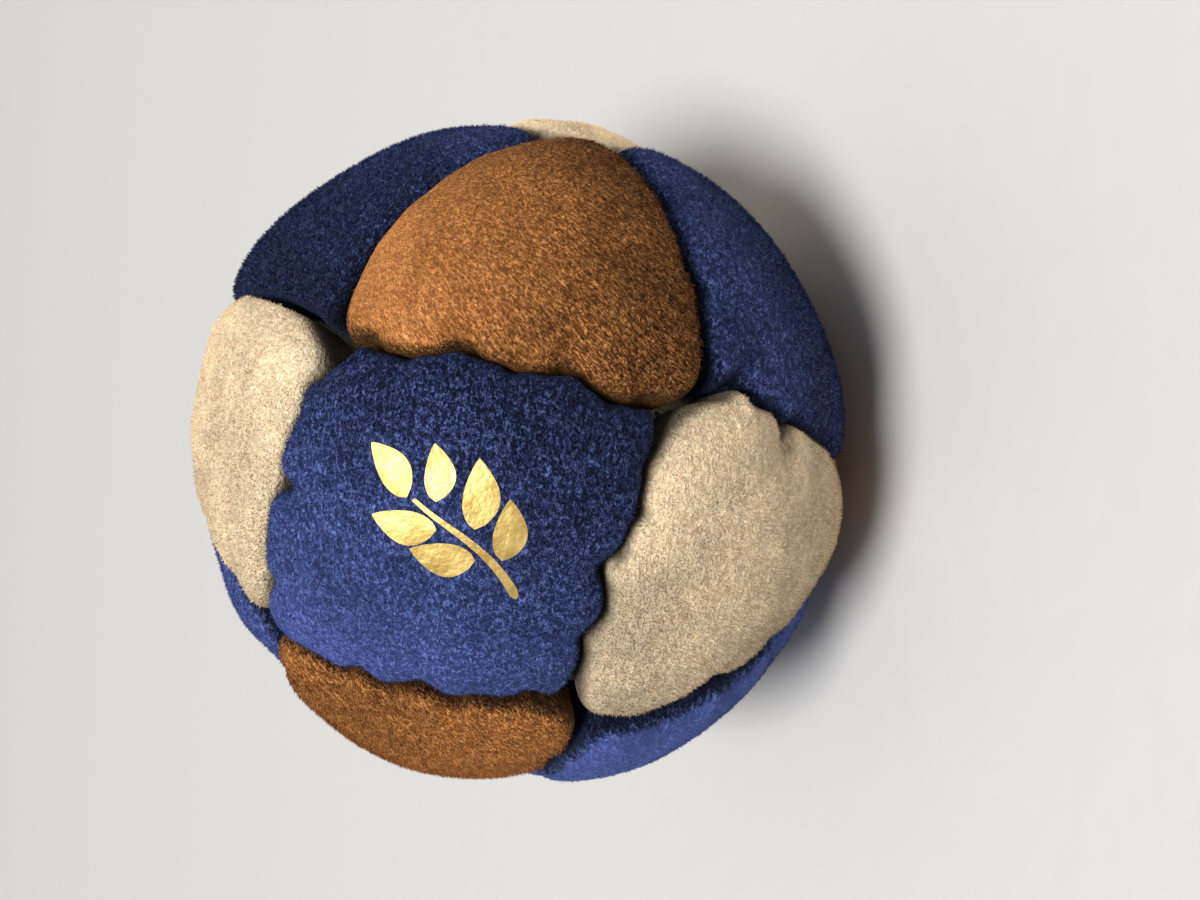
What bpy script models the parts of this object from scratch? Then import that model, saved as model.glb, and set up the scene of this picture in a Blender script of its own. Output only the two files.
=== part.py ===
"""A hand-sewn fourteen-panel footbag: six square and eight six-sided suede panels round a sand filling.

Each panel is a pillowed tray of suede. Its rim turns inwards as a seam allowance, and every pair of
neighbouring allowances lies flat together on a plane through the ball's centre. One thread for each
seam runs to and fro through needle holes in the two allowances, and draws the edge in at each stitch,
which scallops it. The filling fills the trays and wraps the allowances from inside. Sewn by hand, the
panels are a little uneven: some corners lie off their place, and some crowns are stuffed fuller.

Lengths are in metres. The ball stands on the flattened crown of its lowest panel, with +Z up, the
front blue panel facing -Y and upwards, and the origin under the ball's centre, on the ground.
"""

import itertools
import math

import bmesh
import bpy
from mathutils import Matrix, Vector

# The ball, measured from its centre

BALL_DIAMETER = 0.0540  # across the crowns of two opposite panels
CROWN_CURVE_RADIUS = 0.0320  # a crown is flatter than the ball itself
SEAM_DEPTH = 0.0022  # from a crown's height down to the seam line
SHORT_SEAM = 0.0050  # straight across a seam between two six-sided panels
FLAT_DEPTH = 0.0005  # how much of the lowest crown is pressed flat

# The edge of a panel, as it rolls over into the seam

SHOULDER_INSET = 0.0036  # along the crown, from the seam
SHOULDER_DROP = 0.0004
ROLL_INSET = 0.0011
ROLL_DROP = 0.0012
PUCKER_INSET = 0.0006  # what each stitch draws the roll in
PUCKER_DROP = 0.0006  # and down
ALLOWANCE_DEPTH = 0.0034  # the seam allowance, from the seam line to its raw edge
SEAM_GAP = 0.0003  # between two allowances
SUEDE_THICKNESS = 0.0009

# The stitching

STITCH_PITCH = 0.0056
STITCH_DEPTH = 0.0017  # below the seam line
THREAD_DIAMETER = 0.0005
THREAD_CLEARANCE = 0.0003  # round the thread, in its needle hole and beside the allowance
THREAD_TAIL = 0.0015  # from a seam's corner to the thread's end
NEEDLE_OVERRUN = 0.0002  # what a needle hole's cutter stands out of the suede

# The filling

FILLING_GAP = 0.0003
FILLING_SHOULDER_DROP = 0.0011  # where the filling rounds off into the seam's channel
WELD_DISTANCE = 0.000001

# What follows from the sizes above

BALL_RADIUS = BALL_DIAMETER / 2
SEAM_RADIUS = BALL_RADIUS - SEAM_DEPTH
ALLOWANCE_RADIUS = SEAM_RADIUS - ALLOWANCE_DEPTH
STITCH_RADIUS = SEAM_RADIUS - STITCH_DEPTH
REST_HEIGHT = BALL_RADIUS - FLAT_DEPTH
NEEDLE_HOLE = THREAD_DIAMETER + 2 * THREAD_CLEARANCE
THREAD_OFFSET = SEAM_GAP / 2 + SUEDE_THICKNESS + THREAD_CLEARANCE + THREAD_DIAMETER / 2
FILLING_INSET = THREAD_OFFSET + THREAD_DIAMETER / 2 + FILLING_GAP

OUTWARD = Vector((0.0, 0.0, 1.0))  # the middle of a panel, in the panel's own axes

# Each panel's cloth, the way it faces and the way its X axis leans, in the axes of the six squares

PANELS = {
    "front_blue_panel": ("blue", (0, 0, 1), (1, 0, 0)),
    "rear_right_blue_panel": ("blue", (0, 1, 0), (1, 0, 0)),
    "rear_left_blue_panel": ("blue", (-1, 0, 0), (0, 1, 0)),
    "lower_right_blue_panel": ("blue", (1, 0, 0), (0, 1, 0)),
    "lower_left_blue_panel": ("blue", (0, -1, 0), (1, 0, 0)),
    "lower_rear_blue_panel": ("blue", (0, 0, -1), (1, 0, 0)),
    "top_sand_panel": ("sand", (-1, 1, 1), (0, 0, 1)),
    "front_sand_panel": ("sand", (1, -1, 1), (0, 0, 1)),
    "rear_right_sand_panel": ("sand", (1, 1, -1), (0, 0, -1)),
    "rear_left_sand_panel": ("sand", (-1, -1, -1), (0, 0, -1)),
    "right_tan_panel": ("tan", (1, 1, 1), (0, 0, 1)),
    "left_tan_panel": ("tan", (-1, -1, 1), (0, 0, 1)),
    "rear_tan_panel": ("tan", (-1, 1, -1), (0, 0, -1)),
    "bottom_tan_panel": ("tan", (1, -1, -1), (0, 0, -1)),
}
UP_PANEL = "top_sand_panel"
FRONT_PANEL = "front_blue_panel"
RESTING_PANEL = "bottom_tan_panel"
SQUARES = [name for name, (_, outward, _) in PANELS.items() if outward.count(0) == 2]

# Where each seam corner lies off its even place, towards the second square and to the side, as shares
# of the short seam. A corner is named by its own square and the square next to it.

CORNER_SHIFT_SHARES = {
    ("front_blue_panel", "rear_right_blue_panel"): (-0.10, 0.12),
    ("front_blue_panel", "lower_right_blue_panel"): (0.07, 0.32),
    ("front_blue_panel", "lower_left_blue_panel"): (-0.95, 0.06),
    ("front_blue_panel", "rear_left_blue_panel"): (-0.07, -0.36),
    ("rear_right_blue_panel", "front_blue_panel"): (0.30, -0.18),
    ("lower_right_blue_panel", "front_blue_panel"): (0.06, -0.22),
    ("lower_left_blue_panel", "front_blue_panel"): (1.15, 0.04),
    ("rear_left_blue_panel", "front_blue_panel"): (0.27, 0.26),
    ("rear_right_blue_panel", "lower_right_blue_panel"): (-0.04, -0.10),
    ("lower_right_blue_panel", "rear_right_blue_panel"): (0.20, -0.12),
    ("rear_right_blue_panel", "rear_left_blue_panel"): (-0.48, -0.08),
    ("lower_right_blue_panel", "lower_left_blue_panel"): (-0.44, -0.16),
}

# How much fuller than the others a crown is stuffed, as shares of the seam's depth

CROWN_LIFT_SHARES = {
    "left_tan_panel": 0.23,
    "front_sand_panel": 0.09,
    "top_sand_panel": -0.23,
    "lower_left_blue_panel": 0.32,
    "rear_left_blue_panel": -0.50,
    "rear_right_blue_panel": -0.18,
}


# Scene, collections and materials


def cleared_scene():
    """Remove whatever the scene holds."""
    for leftover in list(bpy.data.objects):
        bpy.data.objects.remove(leftover, do_unlink=True)


def new_collection(name):
    collection = bpy.data.collections.new(name)
    bpy.context.scene.collection.children.link(collection)
    return collection


def new_material(name, colour, roughness, sheen=0.0):
    material = bpy.data.materials.new(name)
    material.use_nodes = True
    shader = material.node_tree.nodes["Principled BSDF"]
    shader.inputs["Base Color"].default_value = (*colour, 1.0)
    shader.inputs["Roughness"].default_value = roughness
    shader.inputs["Metallic"].default_value = 0.0
    shader.inputs["Sheen Weight"].default_value = sheen
    material.diffuse_color = (*colour, 1.0)
    return material


def new_object(name, data, collection, parent, turn):
    """An object at the ball's centre, turned to its place."""
    placed = bpy.data.objects.new(name, data)
    collection.objects.link(placed)
    placed.parent = parent
    placed.rotation_euler = turn.to_euler()
    return placed


# Where the seams run


def facing(outward, towards):
    """A rotation whose Z axis points outward and whose X axis leans towards a second direction."""
    z_axis = Vector(outward).normalized()
    lean = Vector(towards)
    x_axis = (lean - z_axis * z_axis.dot(lean)).normalized()
    return Matrix((x_axis, z_axis.cross(x_axis), z_axis)).transposed()


def seam_corners():
    """Directions from the ball's centre to the points where three seams meet, by the names of two squares.

    They are the corners of an octahedron with its points cut off, a little deeper than the even cut,
    so that the seams between two six-sided panels stay short. Some are then shifted.
    """
    step = SHORT_SEAM / math.sqrt(2)
    near = (math.sqrt(2 * SEAM_RADIUS**2 - step**2) - step) / 2
    far = near + step
    corners = {}
    for names in itertools.permutations(SQUARES, 2):
        own, towards = (Vector(PANELS[name][1]) for name in names)
        if own.dot(towards) != 0:
            continue
        along_share, aside_share = CORNER_SHIFT_SHARES.get(names, (0, 0))
        along = (towards * far - own * near).normalized() * SHORT_SEAM * along_share
        aside = own.cross(towards) * SHORT_SEAM * aside_share
        corners[names] = (own * far + towards * near + along + aside).normalized()
    return corners


def corner_names(name):
    """The names of a panel's own corners."""
    outward = Vector(PANELS[name][1])
    squares = [square for square in SQUARES if outward.dot(PANELS[square][1]) > 0]
    if len(squares) > 1:
        return list(itertools.permutations(squares, 2))
    return [(name, square) for square in SQUARES if outward.dot(PANELS[square][1]) == 0]


def panel_turn(name, corners):
    """Faces a panel's Z axis out through the middle of its corners. The lowest panel lies level."""
    _, outward, lean = PANELS[name]
    if name != RESTING_PANEL:
        outward = sum((corners[corner] for corner in corner_names(name)), Vector((0.0, 0.0, 0.0)))
    return facing(outward, lean)


def outline_of(name, turn, corners):
    """A panel's corners in its own axes, anticlockwise seen from outside."""
    local = [turn.transposed() @ corners[corner] for corner in corner_names(name)]
    return sorted(local, key=lambda corner: math.atan2(corner.y, corner.x))


def crown_lift(name):
    return SEAM_DEPTH * CROWN_LIFT_SHARES.get(name, 0)


def stitch_count(start, end):
    """How many stitches a seam between two corner directions takes."""
    return max(1, round(start.angle(end) * SEAM_RADIUS / STITCH_PITCH))


class Station:
    """A place on a panel's seam line, in the panel's own axes."""

    def __init__(self, direction, inward, drawn_in, lift):
        self.direction = direction  # from the ball's centre
        self.inward = inward  # moves a point one unit clear of every seam plane it lies on
        self.drawn_in = drawn_in  # 1 at a stitch and at a corner, 0 midway between two
        self.lift = lift  # of the panel's crown

    def on_allowance(self, radius, inset):
        return self.direction * radius + self.inward * inset

    def on_crown(self, lean, drop):
        """A point over this station's way out from the panel's middle, at an angle from the middle."""
        across = Vector((self.direction.x, self.direction.y, 0.0)).normalized()
        sunk = CROWN_CURVE_RADIUS - BALL_RADIUS - self.lift
        reach = math.sqrt(CROWN_CURVE_RADIUS**2 - (sunk * math.sin(lean)) ** 2) - sunk * math.cos(lean)
        return (across * math.sin(lean) + OUTWARD * math.cos(lean)) * (reach - drop)

    def lean_at(self, inset):
        """The angle from the panel's middle, at a distance along the crown from the seam."""
        return self.direction.angle(OUTWARD) - inset / BALL_RADIUS


def side_stations(outline, steps_per_stitch, lift):
    """For each side of a panel, the stations from its first corner up to the next side's."""
    count = len(outline)
    inwards = [outline[i].cross(outline[(i + 1) % count]).normalized() for i in range(count)]
    sides = []
    for i, start in enumerate(outline):
        end = outline[(i + 1) % count]
        corner_inward = (inwards[i - 1] + inwards[i]) / (1 + inwards[i - 1].dot(inwards[i]))
        steps = stitch_count(start, end) * steps_per_stitch
        stations = [Station(start, corner_inward, 1, lift)]
        for step in range(1, steps):
            drawn_in = 1 if step % steps_per_stitch == 0 else 0
            stations.append(Station(start.slerp(end, step / steps), inwards[i], drawn_in, lift))
        sides.append(stations)
    return sides


def needle_shares(start, end):
    """Where the thread pierces the allowances, as shares of a seam's length."""
    stitches = max(2, stitch_count(start, end))
    return [stitch / stitches for stitch in range(1, stitches)]


# The suede panels


def ring_faces(shape, inner, outer):
    """Triangles between two rings of as many points, the first nearer to the panel's middle.

    Even points lie at the stitches, and each diagonal runs from one of those out to the fuller cloth
    beside it, so that the scallops stay rounded.
    """
    for i in range(len(inner)):
        j = (i + 1) % len(inner)
        if i % 2 == 0:
            shape.faces.new((inner[i], outer[i], outer[j]))
            shape.faces.new((inner[i], outer[j], inner[j]))
        else:
            shape.faces.new((inner[i], outer[i], inner[j]))
            shape.faces.new((outer[i], outer[j], inner[j]))


def fan_faces(shape, middle, ring):
    for i in range(len(ring)):
        shape.faces.new((middle, ring[i], ring[(i + 1) % len(ring)]))


def mesh_from(shape, name):
    mesh = bpy.data.meshes.new(name)
    shape.to_mesh(mesh)
    shape.free()
    mesh.shade_smooth()
    mesh.set_sharp_from_angle(angle=math.radians(50))
    return mesh


def flat_lean():
    """The angle from the lowest panel's middle to the rim of its flat."""
    flat_radius = math.sqrt(CROWN_CURVE_RADIUS**2 - (CROWN_CURVE_RADIUS - FLAT_DEPTH) ** 2)
    return math.atan2(flat_radius, BALL_RADIUS - FLAT_DEPTH)


def panel_surface(name, outline, lift, flattened):
    """The outer face of a panel: crown, rolled edge and, on each side, its seam allowance."""
    sides = side_stations(outline, 2, lift)
    stations = [station for side in sides for station in side]
    shape = bmesh.new()
    crown_height = BALL_RADIUS + lift - (FLAT_DEPTH if flattened else 0.0)
    middle = shape.verts.new(OUTWARD * crown_height)
    crown, shoulder, roll, seam = [], [], [], []
    for station in stations:
        if flattened:
            crown_point = station.on_crown(flat_lean(), 0.0)
        else:
            crown_point = station.on_crown(station.lean_at(0.0) / 2, 0.0)
        roll_lean = station.lean_at(ROLL_INSET + PUCKER_INSET * station.drawn_in)
        roll_drop = ROLL_DROP + PUCKER_DROP * station.drawn_in
        seam_radius = SEAM_RADIUS - PUCKER_DROP * station.drawn_in
        crown.append(shape.verts.new(crown_point))
        shoulder.append(shape.verts.new(station.on_crown(station.lean_at(SHOULDER_INSET), SHOULDER_DROP)))
        roll.append(shape.verts.new(station.on_crown(roll_lean, roll_drop)))
        seam.append(shape.verts.new(station.on_allowance(seam_radius, SEAM_GAP / 2)))
    fan_faces(shape, middle, crown)
    ring_faces(shape, crown, shoulder)
    ring_faces(shape, shoulder, roll)
    ring_faces(shape, roll, seam)

    raw_sides = side_stations(outline, 1, lift)
    raw_edge = [
        [shape.verts.new(station.on_allowance(ALLOWANCE_RADIUS, SEAM_GAP / 2)) for station in side]
        for side in raw_sides
    ]
    first = 0
    for i, side in enumerate(sides):
        upper = [seam[(first + step) % len(seam)] for step in range(len(side) + 1)]
        lower = raw_edge[i] + [raw_edge[(i + 1) % len(sides)][0]]
        shape.faces.new([upper[0], *lower, *reversed(upper[1:])])
        first += len(side)
    return mesh_from(shape, name)


def needle_cutter(name, outline):
    """Square prisms through a panel's allowances, one for each place where a thread pierces them."""
    shape = bmesh.new()
    depth = SUEDE_THICKNESS + 2 * NEEDLE_OVERRUN
    middle_inset = SEAM_GAP / 2 + SUEDE_THICKNESS / 2
    for i, start in enumerate(outline):
        end = outline[(i + 1) % len(outline)]
        inward = start.cross(end).normalized()
        for share in needle_shares(start, end):
            radial = start.slerp(end, share)
            turn = Matrix((inward.cross(radial), inward, radial)).transposed().to_4x4()
            place = Matrix.Translation(radial * STITCH_RADIUS + inward * middle_inset)
            size = Matrix.Diagonal((NEEDLE_HOLE, depth, NEEDLE_HOLE, 1.0))
            bmesh.ops.create_cube(shape, size=1.0, matrix=place @ turn @ size)
    return mesh_from(shape, name)


def add_panels(parts, cutters, ball, turns, corners, cloths):
    """Six square and eight six-sided panels."""
    for name, (cloth, _, _) in PANELS.items():
        turn = turns[name]
        outline = outline_of(name, turn, corners)
        surface = panel_surface(name, outline, crown_lift(name), name == RESTING_PANEL)
        panel = new_object(name, surface, parts, ball, turn)
        panel.data.materials.append(cloths[cloth])
        suede = panel.modifiers.new("suede_thickness", "SOLIDIFY")
        suede.thickness = SUEDE_THICKNESS
        suede.offset = -1.0
        suede.use_even_offset = True
        suede.use_quality_normals = True
        holes = needle_cutter(f"{name}_needle_holes", outline)
        cutter = new_object(f"{name}_needle_holes", holes, cutters, ball, turn)
        cutter.hide_render = True
        cutter.display_type = "WIRE"
        pierced = panel.modifiers.new("needle_holes", "BOOLEAN")
        pierced.operation = "DIFFERENCE"
        pierced.object = cutter


# The seam threads


def thread_curve(name, arc, shares):
    """A running stitch along a seam whose middle lies on +Z, from side to side of the allowances."""

    def place(share, side):
        angle = (share - 0.5) * arc
        along = math.sin(angle) * STITCH_RADIUS
        return Vector((along, side * THREAD_OFFSET, math.cos(angle) * STITCH_RADIUS))

    tail_share = THREAD_TAIL / (arc * STITCH_RADIUS)
    side = 1
    points = [place(tail_share, side)]
    for share in shares:
        points += [place(share, side), place(share, -side)]
        side = -side
    points.append(place(1 - tail_share, side))
    curve = bpy.data.curves.new(name, "CURVE")
    curve.dimensions = "3D"
    curve.bevel_depth = THREAD_DIAMETER / 2
    curve.bevel_resolution = 0
    curve.use_fill_caps = True
    spline = curve.splines.new("POLY")
    spline.points.add(len(points) - 1)
    for spline_point, point in zip(spline.points, points):
        spline_point.co = (*point, 1.0)
    return curve


def add_threads(parts, ball, turns, corners, thread):
    """One thread for each pair of panels that share two corners."""
    own_corners = {name: set(corner_names(name)) for name in PANELS}
    names = list(PANELS)
    for i, first_name in enumerate(names):
        for second_name in names[i + 1 :]:
            shared = sorted(own_corners[first_name] & own_corners[second_name])
            if len(shared) != 2:
                continue
            start, end = (corners[corner] for corner in shared)
            if start.cross(end).dot(turns[first_name] @ OUTWARD) > 0:
                start, end = end, start
            label = f"thread_{first_name}_to_{second_name}".replace("_panel", "")
            curve = thread_curve(label, start.angle(end), needle_shares(start, end))
            curve.materials.append(thread)
            new_object(label, curve, parts, ball, facing(start + end, end - start))


# The filling


def add_filling(parts, ball, turns, corners, sand):
    """Sand that swells into every tray and leaves a channel for each pair of allowances."""
    shape = bmesh.new()
    channel_radius = ALLOWANCE_RADIUS - FILLING_GAP
    lining = SUEDE_THICKNESS + FILLING_GAP
    for name, turn in turns.items():
        outline = outline_of(name, turn, corners)
        lift = crown_lift(name)
        wall_top_radius = SEAM_RADIUS - PUCKER_DROP + min(lift, 0.0)
        crown_height = BALL_RADIUS + lift - lining - (FLAT_DEPTH if name == RESTING_PANEL else 0.0)
        middle = shape.verts.new(turn @ (OUTWARD * crown_height))
        rings = [[], [], [], []]
        for station in (station for side in side_stations(outline, 1, lift) for station in side):
            places = (
                station.on_crown(station.lean_at(SHOULDER_INSET), FILLING_SHOULDER_DROP + lining),
                station.on_allowance(wall_top_radius, FILLING_INSET),
                station.on_allowance(channel_radius, FILLING_INSET),
                station.direction * channel_radius,
            )
            for ring, place in zip(rings, places):
                ring.append(shape.verts.new(turn @ place))
        fan_faces(shape, middle, rings[0])
        for inner, outer in zip(rings, rings[1:]):
            ring_faces(shape, inner, outer)
    bmesh.ops.remove_doubles(shape, verts=shape.verts, dist=WELD_DISTANCE)
    filling = new_object("sand_filling", mesh_from(shape, "sand_filling"), parts, ball, Matrix.Identity(3))
    filling.data.materials.append(sand)


# The whole footbag


def build_footbag():
    cleared_scene()
    parts = new_collection("footbag")
    cutters = new_collection("footbag_cutters")
    cloths = {
        "blue": new_material("blue_suede", (0.030, 0.041, 0.130), 0.95, 0.3),
        "tan": new_material("tan_suede", (0.270, 0.115, 0.040), 0.95, 0.3),
        "sand": new_material("sand_suede", (0.660, 0.520, 0.360), 0.95, 0.3),
    }
    thread = new_material("seam_thread", (0.020, 0.022, 0.050), 0.7)
    sand = new_material("sand_filling", (0.520, 0.430, 0.290), 1.0)

    corners = seam_corners()
    turns = {name: panel_turn(name, corners) for name in PANELS}
    standing = facing(PANELS[UP_PANEL][1], PANELS[FRONT_PANEL][1]).transposed()
    ball = bpy.data.objects.new("ball_centre", None)
    parts.objects.link(ball)
    ball.location = (0.0, 0.0, REST_HEIGHT)
    ball.rotation_euler = (Matrix.Rotation(-math.pi / 2, 3, "Z") @ standing).to_euler()

    add_panels(parts, cutters, ball, turns, corners, cloths)
    add_threads(parts, ball, turns, corners, thread)
    add_filling(parts, ball, turns, corners, sand)


build_footbag()
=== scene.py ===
import itertools
import math

import bmesh
import bpy
import numpy as np
from mathutils import Matrix, Vector, noise
from mathutils.bvhtree import BVHTree
from mathutils.kdtree import KDTree


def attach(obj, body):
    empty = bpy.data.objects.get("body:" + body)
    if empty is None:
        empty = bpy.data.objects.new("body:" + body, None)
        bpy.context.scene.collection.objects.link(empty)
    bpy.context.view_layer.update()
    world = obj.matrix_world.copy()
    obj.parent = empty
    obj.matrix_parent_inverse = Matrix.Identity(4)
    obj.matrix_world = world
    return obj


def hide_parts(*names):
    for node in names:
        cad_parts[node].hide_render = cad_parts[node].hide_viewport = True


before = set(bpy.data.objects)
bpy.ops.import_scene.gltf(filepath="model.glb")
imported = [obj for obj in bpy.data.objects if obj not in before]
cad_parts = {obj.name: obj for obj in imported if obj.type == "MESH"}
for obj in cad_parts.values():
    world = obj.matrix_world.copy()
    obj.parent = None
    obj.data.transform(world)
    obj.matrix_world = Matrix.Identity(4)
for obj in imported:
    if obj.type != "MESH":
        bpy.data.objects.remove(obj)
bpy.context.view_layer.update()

# Blue panels
# Six squares of napped synthetic suede, navy blue, pillowed by the sand behind them.
# Their edges are turned in as seam allowances and sewn by hand to the six-sided panels,
# and each stitch draws the edge down and a little to one side.

# Lengths in this file are millimetres from the ball's centre, until a mesh is made.
MM = 0.001
CENTRE_HEIGHT = 26.5
CROWN_RADIUS = 27.0
CROWN_CURVE_RADIUS = 32.0
SEAM_RADIUS = 24.8
ALLOWANCE_RADIUS = 21.4
SHORT_SEAM = 5.0
SEAM_GAP = 0.12
SUEDE_THICKNESS = 0.9
LINING_DEPTH = 1.5 * SUEDE_THICKNESS
STITCH_PITCH = 5.6
EDGE_WIDTH = 3.4
EDGE_DEPTH = 2.7
CORNER_ROUNDING = 0.9
STITCH_EXTRA_WIDTH = 0.4
STITCH_EXTRA_DEPTH = 0.8
SEAM_WAVE = 0.62
WAVE_REACH = 2.5
BOW_REACH = 3.5
NOTCH_WIDTH = 0.8
NOTCH_SPREAD = 0.25
NOTCH_REACH = 2.0
LUMP_HEIGHT = 0.3
LUMP_SIZE = 9.0
RIPPLE_HEIGHT = 0.07
RIPPLE_SIZE = 3.2
FLOOR_EASE = 0.25
CROWN_RINGS = 28
EDGE_RINGS = 14
INNER_RINGS = (1, 0.6, 0.3)
RAY_REACH = (0.2, 1.1)
RAY_STEPS = 120
SMOOTHING_LEVELS = 1
HELD_WIDTH = 0.3
LOOSE_WIDTH = 2.5
SLACK = 0.45
PRESSURE = 4.0
STUFFED_REACH = 0.6
TRIAL_SCALE = 100
FRAMES = 20

OUTWARD = {
    "front_blue_panel": (0, 0, 1),
    "rear_right_blue_panel": (0, 1, 0),
    "rear_left_blue_panel": (-1, 0, 0),
    "lower_right_blue_panel": (1, 0, 0),
    "lower_left_blue_panel": (0, -1, 0),
    "lower_rear_blue_panel": (0, 0, -1),
    "right_tan_panel": (1, 1, 1),
    "left_tan_panel": (-1, -1, 1),
    "rear_tan_panel": (-1, 1, -1),
    "bottom_tan_panel": (1, -1, -1),
    "top_sand_panel": (-1, 1, 1),
    "front_sand_panel": (1, -1, 1),
    "rear_right_sand_panel": (1, 1, -1),
    "rear_left_sand_panel": (-1, -1, -1),
}
# How much further out than the others each crown is stuffed.
CROWN_LIFTS = {
    "left_tan_panel": 0.5,
    "front_sand_panel": 0.15,
    "top_sand_panel": -0.5,
    "lower_left_blue_panel": 0.7,
    "rear_left_blue_panel": -1.1,
    "rear_right_blue_panel": -0.7,
}
# How far each corner in view lies from its place on an even ball: towards the second
# square, and to the side. The others are a little uneven too.
CORNER_SHIFTS = {
    ("front_blue_panel", "rear_right_blue_panel"): (0.8, 0.6),
    ("front_blue_panel", "lower_right_blue_panel"): (0.35, 1.6),
    ("front_blue_panel", "lower_left_blue_panel"): (-4.4, 0.3),
    ("front_blue_panel", "rear_left_blue_panel"): (1.0, -1.8),
    ("rear_right_blue_panel", "front_blue_panel"): (2.9, -0.9),
    ("lower_right_blue_panel", "front_blue_panel"): (0.3, -1.1),
    ("lower_left_blue_panel", "front_blue_panel"): (6.2, 0.2),
    ("rear_left_blue_panel", "front_blue_panel"): (2.7, 1.3),
    ("rear_right_blue_panel", "lower_right_blue_panel"): (-0.2, -0.5),
    ("lower_right_blue_panel", "rear_right_blue_panel"): (1.2, -0.6),
    ("rear_right_blue_panel", "rear_left_blue_panel"): (-2.4, -0.4),
    ("lower_right_blue_panel", "lower_left_blue_panel"): (-2.2, -0.8),
}
HIDDEN_SHIFT = 0.6
# Seams in view, going round the first panel to the left: how far the seam bows out over
# the second panel, in its middle and more in its first half than its second, then the
# stitches that draw in the first panel and the second, each as its share and strength.
SEAM_SHAPES = {
    ("front_blue_panel", "right_tan_panel"): (
        (1.1, 0.0),
        ((0.17, 0.4), (0.46, 0.4), (0.78, 0.4)),
        ((0.04, 1.2), (0.30, 1.3), (0.62, 1.3), (0.92, 1.2)),
    ),
    ("front_blue_panel", "top_sand_panel"): (
        (0.9, 0.2),
        ((0.45, 1.5), (0.8, 0.6)),
        ((0.15, 0.9), (0.45, 0.9)),
    ),
    ("front_blue_panel", "left_tan_panel"): (
        (-0.2, 0.0),
        ((0.35, 0.3), (0.55, 0.5), (0.9, 0.7)),
        ((0.28, 0.9), (0.43, 0.8), (0.65, 0.9), (0.93, 0.8)),
    ),
    ("front_blue_panel", "front_sand_panel"): (
        (-0.9, 0.0),
        ((0.25, 0.6), (0.5, 1.3), (0.85, 0.3)),
        ((0.36, 0.4), (0.7, 0.5)),
    ),
    ("front_sand_panel", "lower_right_blue_panel"): (
        (0.5, 0.0),
        ((0.64, 1.4),),
        ((0.3, 0.4), (0.88, 1.7)),
    ),
    ("right_tan_panel", "rear_right_blue_panel"): (
        (1.7, 0.0),
        ((0.5, 0.1),),
        ((0.3, 0.2), (0.7, 0.2)),
    ),
    ("right_tan_panel", "lower_right_blue_panel"): (
        (0.4, 0.0),
        ((0.4, 0.15),),
        ((0.3, 0.5), (0.65, 0.4)),
    ),
    ("top_sand_panel", "rear_right_blue_panel"): (
        (1.9, 0.9),
        ((0.5, 0.1),),
        ((0.15, 0.4), (0.7, 0.3)),
    ),
}
# Each panel's tone, and how much lighter and smoother it grows towards one side, given as
# across, back and up. This is partly how its nap was left after brushing and partly painted
# light: the tones are set lighter or darker for how the lamp falls on each panel, and the
# lighter side is a painted gradient of light across it.
BRUSHED_AND_PAINTED_LIGHT = {
    "front_blue_panel": (0.92, 0.34, (-0.6, -0.15, 0.4)),
    "rear_right_blue_panel": (0.62, 0.42, (0.9, 0.44, -1)),
    "lower_right_blue_panel": (0.76, 0.1, (0, 0, 1)),
    "lower_left_blue_panel": (1.35, 0.0, (0, 0, 1)),
    "rear_left_blue_panel": (1.1, 0.1, (0, 0, 1)),
    "right_tan_panel": (0.93, 0.45, (0.3, 0, 0.8)),
    "left_tan_panel": (0.92, 0.0, (0, 0, 1)),
    "top_sand_panel": (0.86, 0.13, (0.9, 0.44, 0)),
    "front_sand_panel": (0.76, 0.14, (0.9, 0.44, 0)),
    "rear_right_sand_panel": (1.15, 0.0, (0, 0, 1)),
}
PLAIN_BRUSHED = (1.0, 0.0, (0, 0, 1))
PAINTED_LIGHT_REACH = 10.0
PAINTED_LIGHT_LIMIT = 1.5
# Where the first stitch of any other seam draws in each of its sides, in stitches.
STITCH_SHARES = {1: 0.25, -1: 0.75}
SHARE_STRAY = 0.06
STRENGTH_RANGE = (0.2, 0.7)
uneven = np.random.default_rng(14)


def unit(vector):
    vector = np.asarray(vector, float)
    return vector / np.linalg.norm(vector, axis=-1, keepdims=True)


TOP = unit((-1, 1, 1))
FRONT = unit(np.array((0, 0, 1)) - TOP * TOP[2])
TURN = np.array([np.cross(-FRONT, TOP), -FRONT, TOP])
STEP = SHORT_SEAM / math.sqrt(2)
NEAR = (math.sqrt(2 * SEAM_RADIUS**2 - STEP**2) - STEP) / 2
FAR = NEAR + STEP
square_name = {outward: name for name, outward in OUTWARD.items() if not all(outward)}


def seam_corners():
    """The direction of each of the 24 seam corners, by its square and the square next to it."""
    places = {}
    for face, towards in itertools.permutations(square_name, 2):
        if np.dot(face, towards):
            continue
        drawn = uneven.uniform(-HIDDEN_SHIFT, HIDDEN_SHIFT, 2)
        names = (square_name[face], square_name[towards])
        along, aside = CORNER_SHIFTS.get(names, drawn)
        sideways = np.cross(face, towards)
        lean = unit(np.array(towards) * FAR - np.array(face) * NEAR)
        place = np.array(face) * FAR + np.array(towards) * NEAR + lean * along
        places[face, towards] = unit(TURN @ (place + sideways * aside))
    return places


corner_place = seam_corners()


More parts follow.
